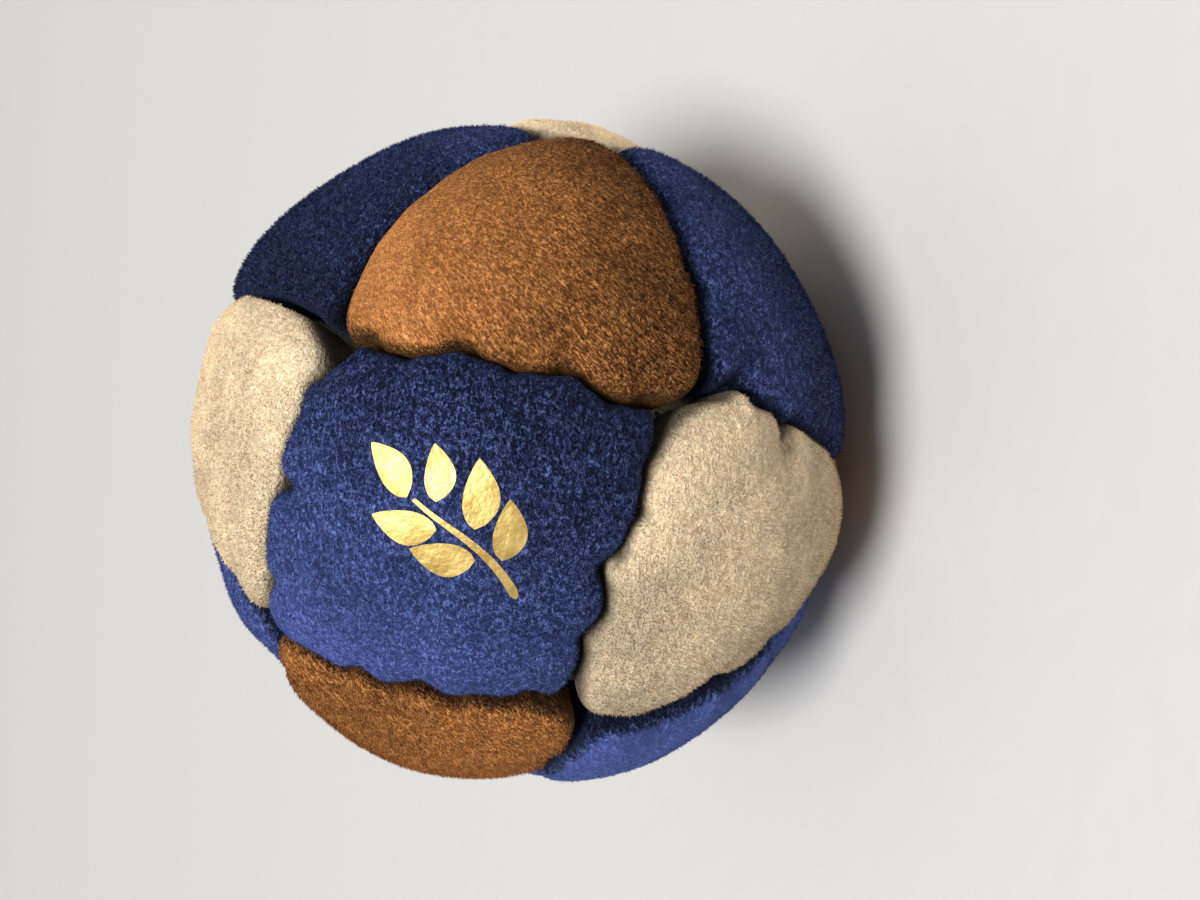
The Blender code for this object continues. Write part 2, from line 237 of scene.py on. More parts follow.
class Seam:
    """A sewn seam between two corners, and the stitches that draw its two panels in and down."""

    def __init__(self, ends):
        self.start, self.end = (corner_place[end] for end in ends)
        self.normal = unit(np.cross(self.start, self.end))
        self.across = np.cross(self.normal, self.start)
        self.length = SEAM_RADIUS * math.acos(self.start @ self.end)
        self.bow = (0, 0)
        self.panels = {}
        count = int(self.length / STITCH_PITCH)
        self.notches = {}
        for side, first in STITCH_SHARES.items():
            shares = (np.arange(count) + first) / max(count, 1)
            shares += uneven.uniform(-SHARE_STRAY, SHARE_STRAY, count)
            self.notches[side] = (shares * self.length, uneven.uniform(*STRENGTH_RANGE, count))

    def shape(self, side, bow, own, other):
        """Gives the seam a shape from SEAM_SHAPES, told from the panel on this side."""
        self.bow = (bow[0] * side, bow[1])
        for which, notches in ((side, own), (-side, other)):
            shares, strengths = np.array(notches).T
            self.notches[which] = ((shares if side > 0 else 1 - shares) * self.length, strengths)

    def pull(self, side, along, inward):
        """How much the stitches draw the panel on this side down: about 1 mm at a strong one."""
        places, strengths = self.notches[side]
        width = NOTCH_WIDTH + NOTCH_SPREAD * inward
        near = np.exp(-(((along[..., None] - places) / width[..., None]) ** 2))
        return (near * strengths).sum(-1)

    def measured(self, side, directions):
        """The distance from the seam into the panel on this side, and its stitches' pull there."""
        inward = SEAM_RADIUS * np.arcsin(np.clip(side * directions @ self.normal, -1, 1))
        along = SEAM_RADIUS * np.arctan2(directions @ self.across, directions @ self.start)
        depth = np.maximum(inward, 0)
        own = self.pull(side, along, depth)
        other = self.pull(-side, along, depth)
        turn = math.pi * np.clip(along / self.length, 0, 1)
        bow = side * (self.bow[0] * np.sin(turn) + self.bow[1] * np.sin(2 * turn))
        wave = SEAM_WAVE * (own - other) * np.exp(-depth / WAVE_REACH)
        wave -= bow * np.exp(-depth / BOW_REACH)
        return inward - wave - SEAM_GAP / 2, own


seams = {}


class Panel:
    """The seams round one panel, and the shape that sand and stitches give it between them."""

    def __init__(self, name, outward):
        self.name = name
        axes = [axis for axis in square_name if np.dot(axis, outward) > 0]
        if len(axes) == 1:
            ends = [(axes[0], other) for other in square_name if not np.dot(axes[0], other)]
        else:
            ends = list(itertools.permutations(axes, 2))
        self.axis = unit(sum(corner_place[end] for end in ends))
        self.across = unit(np.cross(self.axis, corner_place[ends[0]]))
        self.along = np.cross(self.across, self.axis)
        self.ends = sorted(ends, key=self.turned)
        self.sides = []
        for pair in zip(self.ends, self.ends[1:] + self.ends[:1]):
            key = tuple(sorted(pair))
            if key not in seams:
                seams[key] = Seam(key)
            side = 1 if seams[key].normal @ self.axis > 0 else -1
            self.sides.append((seams[key], side))
            seams[key].panels[self.name] = side

    def turned(self, end):
        """How far round the crown a corner lies."""
        return math.atan2(corner_place[end] @ self.across, corner_place[end] @ self.along)

    def direction(self, flat):
        """The direction of a place in the plane that touches the crown."""
        return unit(self.axis + flat[..., :1] * self.along + flat[..., 1:] * self.across)

    def outline(self, rings):
        """Places round the edge, in that plane: an even run between the middles of long seams."""
        corners = np.array([corner_place[end] for end in self.ends])
        height = (corners @ self.axis)[:, None]
        corners = np.stack([corners @ self.along, corners @ self.across], -1) / height
        count = len(corners)
        stride = 1 if count == 4 else 2
        spans = [seam.length for seam, side in self.sides]
        first = int(count == 6 and sum(spans[::2]) >= sum(spans[1::2]))
        runs = []
        for start in range(first, first + count, stride):
            held = [corners[(start + i) % count] for i in range(stride)]
            before = (corners[(start - 1) % count] + held[0]) / 2
            after = (held[-1] + corners[(start + stride) % count]) / 2
            path = np.array([before, *held, after])
            reach = np.concatenate([[0], np.linalg.norm(np.diff(path, axis=0), axis=1).cumsum()])
            wanted = np.linspace(0, reach[-1], 2 * rings + 1)[:-1]
            runs.append(np.stack([np.interp(wanted, reach, path[:, i]) for i in (0, 1)], -1))
        return np.concatenate(runs), len(runs)

    def measured(self, directions):
        """The distance from the seams, rounded at the corners, and the pull of the stitches."""
        found = [seam.measured(side, directions) for seam, side in self.sides]
        inward = np.array([one for one, pull in found])
        nearness = np.exp(-inward / CORNER_ROUNDING)
        total = nearness.sum(0)
        pull = (nearness * np.array([pull for one, pull in found])).sum(0) / total
        return -CORNER_ROUNDING * np.log(total), pull

    def crown(self, directions):
        sunk = CROWN_CURVE_RADIUS - CROWN_RADIUS - CROWN_LIFTS.get(self.name, 0)
        cosine = directions @ self.axis
        return np.sqrt(CROWN_CURVE_RADIUS**2 - sunk**2 * (1 - cosine**2)) - sunk * cosine

    def lumps(self, directions):
        shift = self.axis * LUMP_SIZE
        places = directions.reshape(-1, 3) * CROWN_RADIUS
        broad = [noise.noise(Vector(place / LUMP_SIZE + shift)) for place in places]
        fine = [noise.noise(Vector(place / RIPPLE_SIZE + shift)) for place in places]
        lumps = LUMP_HEIGHT * np.array(broad) + RIPPLE_HEIGHT * np.array(fine)
        return lumps.reshape(directions.shape[:-1])

    def place(self, directions, drop):
        """Points of the outer face, this far below the crown's dome."""
        inward, pull = self.measured(directions)
        valley = pull * np.exp(-np.maximum(inward, 0) / NOTCH_REACH)
        height = self.crown(directions) + self.lumps(directions) - drop - valley
        return directions * height[..., None]

    def mesh_points(self):
        """Rings of points: the crown, the rolled edge with the allowance, and the inner face."""
        edge, patches = self.outline(CROWN_RINGS)
        shares = np.linspace(*RAY_REACH, RAY_STEPS)
        rays = shares[None, :, None] * edge[:, None, :]
        inward, pull = self.measured(self.direction(rays))
        falling = np.minimum.accumulate(inward, axis=1)
        at_edge = np.array([np.interp(0, -row, near) for row, near in zip(falling, pull)])
        width = EDGE_WIDTH + STITCH_EXTRA_WIDTH * at_edge
        depth = EDGE_DEPTH + STITCH_EXTRA_DEPTH * at_edge

        def contour(distance):
            reach = [np.interp(-far, -row, shares) for far, row in zip(distance, falling)]
            return edge * np.array(reach)[:, None]

        shoulder = contour(width)
        crown = [self.place(self.direction(np.zeros((1, 2))), 0)]
        for ring in range(1, CROWN_RINGS + 1):
            picked = np.arange(2 * ring * patches) * CROWN_RINGS / ring
            low = picked.astype(int)
            share = (picked - low)[:, None]
            flat = shoulder[low] * (1 - share) + shoulder[(low + 1) % len(edge)] * share
            crown.append(self.place(self.direction(flat * ring / CROWN_RINGS), 0))
        rolled = []
        for ring in range(1, EDGE_RINGS + 1):
            angle = math.pi / 2 * (1 - ring / EDGE_RINGS)
            flat = contour(width * (1 - math.cos(angle)))
            rolled.append(self.place(self.direction(flat), depth * (1 - math.sin(angle))))
        hem = unit(rolled[-1])
        inner = self.direction(contour(np.full(len(edge), SUEDE_THICKNESS)))
        top = np.linalg.norm(rolled[-1], axis=1)[:, None]
        rolled.append(hem * (top + ALLOWANCE_RADIUS) / 2)
        rolled.append(hem * ALLOWANCE_RADIUS)
        rolled.append(inner * ALLOWANCE_RADIUS)
        rolled.append(inner * (top - SUEDE_THICKNESS))
        back = []
        flat = shoulder[::2]
        for share in INNER_RINGS:
            inside = self.direction(flat * share)
            back.append(inside * (self.crown(inside) - LINING_DEPTH)[:, None])
            flat = flat[::2]
        return crown, rolled, back, patches


def crown_faces(patches):
    """Four-sided faces between the crown's rings, which grow by one step in each patch."""
    starts = [0] + [1 + patches * ring * (ring + 1) for ring in range(CROWN_RINGS)]

    def point(patch, i, j):
        ring = max(i, j)
        if not ring:
            return 0
        step = j if i == ring else 2 * ring - i
        return starts[ring] + (patch * 2 * ring + step) % (patches * 2 * ring)

    faces = []
    for patch, i, j in itertools.product(range(patches), range(CROWN_RINGS), range(CROWN_RINGS)):
        corners = ((i, j), (i + 1, j), (i + 1, j + 1), (i, j + 1))
        faces.append([point(patch, *corner) for corner in corners])
    return faces


def panel_mesh(panel):
    """The panel as one closed body: its points, its faces, and how free each point is to move."""
    crown, rolled, back, patches = panel.mesh_points()
    faces = crown_faces(patches)
    rings = [crown[-1]] + rolled
    count = len(crown[-1])
    start = sum(map(len, crown)) - count
    for ring in range(len(rolled)):
        low = start + ring * count
        for i in range(count):
            j = (i + 1) % count
            faces.append((low + i, low + count + i, low + count + j, low + j))
    low = start + len(rolled) * count
    points = crown[:-1] + rings + back
    for ring in back:
        high = low + 2 * len(ring)
        for i in range(len(ring)):
            j = (i + 1) % len(ring)
            last = low + (2 * i + 2) % (2 * len(ring))
            faces.append((low + 2 * i, high + i, high + j, last, low + 2 * i + 1))
        low = high
    faces.append(tuple(range(low, low + len(back[-1]))))
    points = np.concatenate(points)
    outside = np.arange(len(points)) < start + (EDGE_RINGS + 1) * count
    inward = panel.measured(unit(points))[0]
    loose = np.clip((inward - HELD_WIDTH) / LOOSE_WIDTH, 0, 1) * outside
    return points, faces, loose


def rested(points):
    """The points with those near the floor eased onto it."""
    floor = -CENTRE_HEIGHT
    low = points[:, 2] < floor + FLOOR_EASE
    points[low, 2] = floor + FLOOR_EASE * np.exp((points[low, 2] - floor - FLOOR_EASE) / FLOOR_EASE)
    return points


def read(items, field):
    """A vector of each item, as rows of an array."""
    values = np.empty(len(items) * 3, np.float32)
    items.foreach_get(field, values)
    return values.reshape(-1, 3)


def new_mesh(name, points, faces):
    """A mesh from points in millimetres from the ball's centre."""
    mesh = bpy.data.meshes.new(name)
    mesh.from_pydata((points * MM + (0, 0, CENTRE_HEIGHT * MM)).tolist(), [], faces)
    shaped = bmesh.new()
    shaped.from_mesh(mesh)
    bmesh.ops.recalc_face_normals(shaped, faces=shaped.faces)
    shaped.to_mesh(mesh)
    shaped.free()
    mesh.shade_smooth()
    piece = bpy.data.objects.new(name, mesh)
    bpy.context.scene.collection.objects.link(piece)
    return piece


def stuffed(names, shapes):
    """The panels' points after the sand has pressed them out, by a cloth simulation.

    It starts from slack panels, held by their turned-in edges, and enlarged to suit the solver.
    """
    scene = bpy.context.scene
    trials = []
    for name, (points, faces, loose) in zip(names, shapes):
        slack = points - unit(points) * (SLACK * loose)[:, None]
        trial = new_mesh(name, slack * TRIAL_SCALE, faces)
        held = trial.vertex_groups.new(name="held")
        for index in np.flatnonzero(loose < 1):
            held.add([int(index)], 1 - loose[index], "REPLACE")
        cloth = trial.modifiers.new("stuffing", "CLOTH")
        cloth.settings.vertex_group_mass = held.name
        cloth.settings.use_pressure = True
        cloth.settings.uniform_pressure_force = PRESSURE
        cloth.settings.effector_weights.gravity = 0
        cloth.collision_settings.use_collision = False
        cloth.point_cache.frame_start = 1
        cloth.point_cache.frame_end = FRAMES
        trials.append(trial)
    for number in range(1, FRAMES + 1):
        scene.frame_set(number)
    graph = bpy.context.evaluated_depsgraph_get()
    found = []
    for trial, (points, faces, loose) in zip(trials, shapes):
        places = read(trial.evaluated_get(graph).data.vertices, "co")
        places = (places / MM - (0, 0, CENTRE_HEIGHT)) / TRIAL_SCALE
        moved = (places - points) * (loose > 0)[:, None]
        far = np.linalg.norm(moved, axis=1)
        found.append(points + moved * (STUFFED_REACH / np.maximum(far, STUFFED_REACH))[:, None])
        bpy.data.objects.remove(trial)
    scene.frame_set(1)
    return found


def smoothed(piece, levels):
    """The piece with a Subdivision Surface of this many levels made real."""
    modifier = piece.modifiers.new("smooth", "SUBSURF")
    modifier.levels = modifier.render_levels = levels
    bpy.context.view_layer.update()
    graph = bpy.context.evaluated_depsgraph_get()
    mesh = bpy.data.meshes.new_from_object(piece.evaluated_get(graph))
    piece.modifiers.clear()
    piece.data = mesh
    return piece


# How high and how wide the tufts of each cloth's nap are.
TUFTS = {"blue": (0.04, 0.35), "tan": (0.04, 0.35), "sand": (0.09, 0.7)}
NAP_CLEARANCE = 0.35
# Painted shade in the seams: it fades out over FOLD_WIDTH from FOLD_BOTTOM in, wider at each
# stitch, and darkens the tone by FOLD_SHADE at most. The nap rises only beyond it.
FOLD_BOTTOM = 0.1
FOLD_WIDTH = 0.55
FOLD_SHADE = 0.9
TUFT_DETAIL = 2.1
CURL_SIZE = 0.45
CURL_SWIRL = 0.7
CLEFT = 0.07
# The stored tone, from brushing with painted light and painted shade, where the nap is all ruffled,
# smooth, and smoothest.
RUFFLED = 0.6
SMOOTH = 1.3
SMOOTHEST = 1.35


def napped(piece, name, height, size):
    """Raises the nap on the outer face, but not in the seams or where it rests on the floor.

    It also stores a tone at each point: the panel's tone after brushing, with a painted gradient of
    light across it, and painted shade that is darkest in the seams.
    """
    mesh = piece.data
    places = read(mesh.vertices, "co").astype(float)
    facing = read(mesh.vertex_normals, "vector")
    out = places / MM - (0, 0, CENTRE_HEIGHT)
    far = np.linalg.norm(out, axis=1)
    inward, pull = panels[name].measured(out / far[:, None])
    fold = np.clip((inward - FOLD_WIDTH * pull - FOLD_BOTTOM) / FOLD_WIDTH, 0, 1)
    tone, painted_light_growth, lighter = BRUSHED_AND_PAINTED_LIGHT.get(name, PLAIN_BRUSHED)
    reach = (out - panels[name].axis * CROWN_RADIUS) @ unit(lighter) / PAINTED_LIGHT_REACH
    reach = np.clip(reach, -PAINTED_LIGHT_LIMIT, PAINTED_LIGHT_LIMIT)
    # Painted light and painted shade: each tone grows lighter towards one side, and darker in the
    # seams.
    tone *= (1 + painted_light_growth * reach) * (1 - FOLD_SHADE * (1 - fold))
    lie = mesh.attributes.new("brushed_and_painted_shade", "FLOAT", "POINT")
    lie.data.foreach_set("value", tone.astype(np.float32))
    outward = (out * facing).sum(1) / far
    shown = fold * (far > SEAM_RADIUS) * np.clip(outward * 4 - 1, 0, 1)
    shown *= np.clip(places[:, 2] / MM - NAP_CLEARANCE, 0, 1)
    broad = np.array([noise.noise(Vector(place)) for place in out / size])
    fine = np.array([noise.noise(Vector(place * TUFT_DETAIL)) for place in out / size])
    places += facing * (shown * (broad + fine / 2) * height * MM)[:, None]
    mesh.vertices.foreach_set("co", places.ravel().astype(np.float32))
    mesh.update()
    raised = mesh.attributes.new("nap", "FLOAT", "POINT")
    raised.data.foreach_set("value", shown.astype(np.float32))


class Nodes:
    """Writes a node tree one node at a time."""

    def __init__(self, tree):
        self.tree = tree

    def fill(self, node, fields):
        """Gives each socket its value, or a link from the output that feeds it."""
        for socket, value in dict(fields).items():
            if isinstance(value, bpy.types.NodeSocket):
                self.tree.links.new(value, node.inputs[socket])
            else:
                node.inputs[socket].default_value = value

    def node(self, kind, fields=(), **settings):
        """Adds a node and gives its outputs."""
        node = self.tree.nodes.new(kind)
        for setting, value in settings.items():
            setattr(node, setting, value)
        self.fill(node, fields)
        return node.outputs

    def sum(self, operation, first, second=0.0):
        return self.node("ShaderNodeMath", {0: first, 1: second}, operation=operation)[0]

    def vector(self, operation, first, second=None, scale=None):
        fields = {0: first, 1: second, "Scale": scale}
        fields = {socket: value for socket, value in fields.items() if value is not None}
        return self.node("ShaderNodeVectorMath", fields, operation=operation)[0]

    def mapped(self, value, given, made, **settings):
        """The value carried over from one range to another."""
        fields = {"Value": value, "From Min": given[0], "From Max": given[1]}
        fields.update({"To Min": made[0], "To Max": made[1]})
        return self.node("ShaderNodeMapRange", fields, **settings)["Result"]

    def noise(self, place, scale, detail=1, rough=0.5, swirl=0.0):
        fields = {"Vector": place, "Scale": scale, "Detail": detail}
        fields.update({"Roughness": rough, "Distortion": swirl})
        return self.node("ShaderNodeTexNoise", fields)


class Material(Nodes):
    """A material from procedural nodes."""

    def __init__(self, name):
        self.made = bpy.data.materials.new(name)
        self.made.use_nodes = True
        super().__init__(self.made.node_tree)
        self.place = self.node("ShaderNodeTexCoord")["Object"]

    def tones(self, value, *stops):
        """A colour for the value, from stops that each have a place and a colour."""
        colour = self.node("ShaderNodeValToRGB", {"Fac": value})["Color"]
        elements = colour.node.color_ramp.elements
        elements.remove(elements[1])
        for number, (place, tone) in enumerate(stops):
            element = elements.new(place) if number else elements[0]
            element.position, element.color = place, (*tone, 1)
        return colour

    def bumped(self, height, distance, strength, invert=False):
        fields = {"Height": height, "Distance": distance, "Strength": strength}
        return self.node("ShaderNodeBump", fields, invert=invert)["Normal"]

    def finish(self, fields):
        self.fill(self.tree.nodes["Principled BSDF"], fields)
        return self.made


def suede(name, dark, middle, light, lying, grain, streak, evenness):
    """Napped suede: tufts in three tones, drawn out along one direction, with clefts between.

    It is smoother and lighter where its stored tone is high, which holds its brushing, painted
    light and painted shade; the clefts between its curls hold painted shade as well.
    """
    cloth = Material(name)
    along = Vector(lying).to_track_quat("X", "Z").to_euler()
    laid = {"Vector": cloth.place, "Rotation": along, "Scale": (streak, 1, 1)}
    laid = cloth.node("ShaderNodeMapping", laid, vector_type="TEXTURE")["Vector"]
    fibres = cloth.noise(laid, 2.2 * grain, swirl=0.2)["Fac"]
    tufts = cloth.noise(laid, grain, swirl=0.8)["Fac"]
    pile = cloth.node("ShaderNodeMix", {"Factor": 0.6, "A": fibres, "B": tufts})["Result"]
    # The stored tone holds the brushing of the nap, a painted gradient of light and painted shade
    # in the seams.
    brushed_and_painted_shade = cloth.node("ShaderNodeAttribute", attribute_name="brushed_and_painted_shade")["Fac"]
    ruffled = cloth.mapped(brushed_and_painted_shade, (SMOOTHEST, RUFFLED), (0.3, 1.0))
    tones = cloth.tones(pile, (0.42, dark), (0.53, middle), (0.66, light))
    mottled = {"Factor": ruffled, "A": (*middle, 1), "B": tones}
    mottled = cloth.node("ShaderNodeMix", mottled, data_type="RGBA")["Result"]
    patches = cloth.noise(cloth.place, 150, 5, 0.65, 0.4)["Fac"]
    patches = cloth.mapped(patches, (0.38, 0.66), (0.7 + 0.15 * evenness, 1.2))
    curls = cloth.noise(cloth.place, 1 / (CURL_SIZE * MM), swirl=CURL_SWIRL)["Fac"]
    # Painted shade: the colour darkens in the clefts between curls, most where the nap is ruffled.
    clefts = cloth.sum("ABSOLUTE", cloth.sum("SUBTRACT", curls, 0.5))
    bottom = cloth.mapped(brushed_and_painted_shade, (SMOOTH, RUFFLED), (1.0, evenness))
    depths = (bottom, 1.22)
    clefts = cloth.mapped(clefts, (0, CLEFT), depths, interpolation_type="SMOOTHSTEP")
    shade = cloth.sum("MULTIPLY", cloth.sum("MULTIPLY", patches, brushed_and_painted_shade), clefts)
    return cloth.finish({
        "Base Color": cloth.vector("SCALE", mottled, scale=shade),
        "Roughness": cloth.mapped(pile, (0, 1), (0.95, 0.6)),
        "Normal": cloth.bumped(pile, 0.00045, ruffled),
        "Specular IOR Level": 0.1,
        "Sheen Weight": 0.2,
        "Sheen Roughness": 0.5,
        "Sheen Tint": (*light, 1),
    })


panels = {name: Panel(name, outward) for name, outward in OUTWARD.items()}
for seam in seams.values():
    for names, shape in SEAM_SHAPES.items():
        if set(names) == set(seam.panels):
            seam.shape(seam.panels[names[0]], *shape)


plain_faces = {}
pieces = {}


def add_panels(cloth, material, slot):
    """Adds every panel of one cloth, in one simulation."""
    names = [name for name in OUTWARD if cloth in name]
    shapes = [panel_mesh(panels[name]) for name in names]
    found = stuffed(names, shapes)
    for name, points, (slack, faces, loose) in zip(names, found, shapes):
        piece = new_mesh(name.replace("_panel", "_suede"), rested(points), faces)
        piece = smoothed(piece, SMOOTHING_LEVELS)
        plain_faces[name] = BVHTree.FromObject(piece, bpy.context.evaluated_depsgraph_get())
        napped(piece, name, *TUFTS[cloth])
        piece.data.materials.clear()
        piece.data.materials.append(material)
        pieces[name] = (piece, slot)


blue_suede = suede(
    "navy blue suede",
    dark=(0.006, 0.008, 0.030),
    middle=(0.040, 0.059, 0.188),
    light=(0.15, 0.21, 0.50),
    lying=(0.9, 0.44, 0),
    grain=3400,
    streak=1.5,
    evenness=0.1,
)
add_panels("blue", blue_suede, "blue_suede")

# Foil sprig
# A plain sprig of leaves in gold foil, stamped hot on the front blue panel. The die leaves
# a bare line between the stem and each leaf, and presses the nap flat.
SPRIG_MIDDLE = (0.152, -0.767, 0.624)
SPRIG_TIP = (0.574, 0.582, 0.576)
FOIL_RAISED = 0.03
FOIL_DEPTH = 0.12
PRESSED_REACH = 0.35
FOIL_EDGE_ANGLE = 50
STEM_START = -7.2
STEM_LENGTH = 10.0
STEM_WIDTH = 0.75
STEM_TAPER = 0.6
STEM_BEND = 0.7
STEM_WAVE = 2.6
STEM_GRID = (41, 5)
LEAF_BEND = 0.35
LEAF_TIP = 0.04
LEAF_LOW_FULLNESS = 0.8
LEAF_ROUNDNESS = 0.85
LEAF_GRID = (15, 7)
# Each leaf: where its foot lies along and beside the stem, its lean, its length and width.
LEAVES = (
    (-4.3, -0.65, -48, 4.4, 2.3),
    (-3.1, 0.75, 42, 4.6, 2.4),
    (-1.4, -1.0, -44, 4.9, 2.5),
    (0.2, 0.7, 40, 4.7, 2.4),
    (1.7, -0.95, -38, 4.0, 2.1),
    (3.2, 0.25, -4, 4.6, 2.3),
)


def leaf(foot, lean, length, width):
    """Rows of points across a leaf, pointed at both ends and fullest below the middle."""
    lean = math.radians(lean)
    ahead = np.array((math.cos(lean), math.sin(lean)))
    aside = np.array((-math.sin(lean), math.cos(lean)))
    count, sides = LEAF_GRID
    rows = []
    for share in np.linspace(0, 1, count):
        bend = math.copysign(LEAF_BEND, lean) * math.sin(math.pi * share)
        fullness = math.sin(math.pi * share**LEAF_LOW_FULLNESS) ** LEAF_ROUNDNESS
        half = width / 2 * fullness + LEAF_TIP
        middle = foot + length * share * ahead
        rows.append([middle + (bend + half * side) * aside for side in np.linspace(-1, 1, sides)])
    return np.array(rows)


def stem_bend(along):
    return STEM_BEND * math.sin(along / STEM_WAVE)


def stem():
    """Rows of points across the stem, which bends to and fro and tapers to the last leaf."""
    count, sides = STEM_GRID
    rows = []
    for share in np.linspace(0, 1, count):
        along = STEM_START + STEM_LENGTH * share
        middle = np.array((along, stem_bend(along)))
        half = STEM_WIDTH / 2 * (1 - STEM_TAPER * share) * min(1, 0.3 + 16 * share)
        rows.append([middle + (0, half * side) for side in np.linspace(-1, 1, sides)])
    return np.array(rows)


def gold_foil():
    """Thin gold leaf, finely crinkled by the nap under it."""
    foil = Material("gold foil")
    crinkles = foil.noise(foil.place, 2200, 2)["Fac"]
    folds = foil.noise(foil.place, 420, 2)["Fac"]
    return foil.finish({
        "Base Color": foil.tones(folds, (0.35, (0.36, 0.23, 0.06)), (0.65, (0.60, 0.44, 0.15))),
        "Metallic": 0.75,
        "Roughness": foil.mapped(crinkles, (0, 1), (0.36, 0.56)),
        "Normal": foil.bumped(crinkles, 0.00012, 0.5),
    })


def body_faces(first, count, width):
    """Faces round a thin body: a grid of points from the first, and the same grid under it."""
    under = first + count * width
    faces = []
    for i, j in itertools.product(range(count - 1), range(width - 1)):
        corner = i * width + j
        cell = (corner, corner + width, corner + width + 1, corner + 1)
        faces += [[first + one for one in cell], [under + one for one in reversed(cell)]]
    rim = [*range(width), *(i * width + width - 1 for i in range(1, count))]
    rim += range(count * width - 2, (count - 1) * width - 1, -1)
    rim += (i * width for i in range(count - 2, 0, -1))
    for start, end in zip(rim, rim[1:] + rim[:1]):
        faces.append((first + start, under + start, under + end, first + end))
    return faces


def add_sprig():
    middle = unit(SPRIG_MIDDLE)
    across = unit(np.cross(middle, SPRIG_TIP))
    along = np.cross(across, middle)
    plain = plain_faces["front_blue_panel"]
    centre = Vector((0, 0, CENTRE_HEIGHT * MM))
    shapes = []
    for gone, beside, *size in LEAVES:
        shapes.append(leaf(np.array((gone, stem_bend(gone) + beside)), *size))
    points, faces = [], []
    for rows in (*shapes, stem()):
        faces += body_faces(len(points), *rows.shape[:2])
        for lift in (FOIL_RAISED, -FOIL_DEPTH):
            for flat in rows.reshape(-1, 2):
                way = Vector(unit(middle * CROWN_RADIUS + along * flat[0] + across * flat[1]))
                hit = plain.ray_cast(centre + way * 2 * CROWN_RADIUS * MM, -way)[0]
                points.append(np.array(hit - centre) / MM + lift * np.array(way))
    piece = new_mesh("gold_foil_sprig", np.array(points), faces)
    piece.data.set_sharp_from_angle(angle=math.radians(FOIL_EDGE_ANGLE))
    piece.data.materials.append(gold_foil())
    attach(piece, "root")
    return piece


def press_flat(piece, foil, plain):
    """Lays the nap flat under the foil and just beside it."""
    stamped = KDTree(len(foil.data.vertices))
    for vertex in foil.data.vertices:
        stamped.insert(vertex.co, vertex.index)
    stamped.balance()
    for vertex in piece.data.vertices:
        far = stamped.find(vertex.co)[2] / MM
        if far < PRESSED_REACH:
            vertex.co = plain.find_nearest(vertex.co)[0]
            piece.data.attributes["nap"].data[vertex.index].value = 0


press_flat(pieces["front_blue_panel"][0], add_sprig(), plain_faces["front_blue_panel"])

# Tan panels
# Four six-sided pieces of the same suede in tan brown, with a harder, streakier nap.
# Their long sides are sewn to the squares and their short sides to the sand panels.
tan_suede = suede(
    "tan suede",
    dark=(0.08, 0.017, 0.004),
    middle=(0.385, 0.154, 0.045),
    light=(0.85, 0.39, 0.125),
    lying=(-0.55, -0.7, -0.55),
    grain=5000,
    streak=3.2,
    evenness=0.05,
)
add_panels("tan", tan_suede, "tan_suede")

# Sand panels
# Four six-sided pieces of sand beige suede, softer and less mottled than the others.
# They alternate with the tan ones round every square.
sand_suede = suede(
    "sand suede",
    dark=(0.66, 0.505, 0.325),
    middle=(0.80, 0.635, 0.42),
    light=(0.88, 0.745, 0.53),
    lying=(0.9, 0.44, 0),
    grain=2600,
    streak=1.3,
    evenness=0.8,
)
add_panels("sand", sand_suede, "sand_suede")

# Standing nap
# The face of every panel is sanded until short fibres stand up from it. They lean the way
# the cloth was combed, cling together in curls, and lie flatter where the stored tone is
# high, which holds both the brushing and painted light.
FIBRE_WIDTH = 0.08
FIBRES_IN_VIEW = 32
FIBRES_HIDDEN = 14
CURL = 1.6
FIBRE_STRAY = 0.35
HIDDEN_PANELS = (
    "lower_rear_blue_panel",
    "rear_tan_panel",
    "bottom_tan_panel",
    "rear_left_sand_panel",
)
# How long each cloth's fibres are, and how far they lean which way.
NAPS = {
    "blue": (0.3, (0.1, 0.05, -0.25)),
    "tan": (0.33, (-0.55, -0.7, -0.55)),
    "sand": (0.25, (0.2, 0.1, -0.3)),
}


class GeometryTree(Nodes):
    """A geometry node tree with named inputs."""

    def __init__(self, name, inputs):
        super().__init__(bpy.data.node_groups.new(name, "GeometryNodeTree"))
        sockets = self.tree.interface
        self.sockets = {}
        for label, kind in inputs.items():
            socket = sockets.new_socket(label, in_out="INPUT", socket_type="NodeSocket" + kind)
            self.sockets[label] = socket.identifier
        sockets.new_socket("Made", in_out="OUTPUT", socket_type="NodeSocketGeometry")
        self.given = self.tree.nodes.new("NodeGroupInput").outputs

    def finish(self, parts, material):
        """Joins the parts, makes copies real, gives them their material and hands them over."""
        joined = self.tree.nodes.new("GeometryNodeJoinGeometry")
        for part in parts:
            self.tree.links.new(part, joined.inputs[0])
        real = self.node("GeometryNodeRealizeInstances", {"Geometry": joined.outputs[0]})
        made = {"Geometry": real["Geometry"], "Material": material}
        made = self.node("GeometryNodeSetMaterial", made)["Geometry"]
        self.fill(self.tree.nodes.new("NodeGroupOutput"), {"Made": made})

    def apply(self, piece, **values):
        """Runs the tree on a piece and makes the result plain mesh."""
        modifier = piece.modifiers.new(self.tree.name, "NODES")
        modifier.node_group = self.tree
        for label, value in values.items():
            modifier[self.sockets[label.replace("_", " ")]] = value
        graph = bpy.context.evaluated_depsgraph_get()
        piece.data = bpy.data.meshes.new_from_object(piece.evaluated_get(graph))
        piece.modifiers.clear()


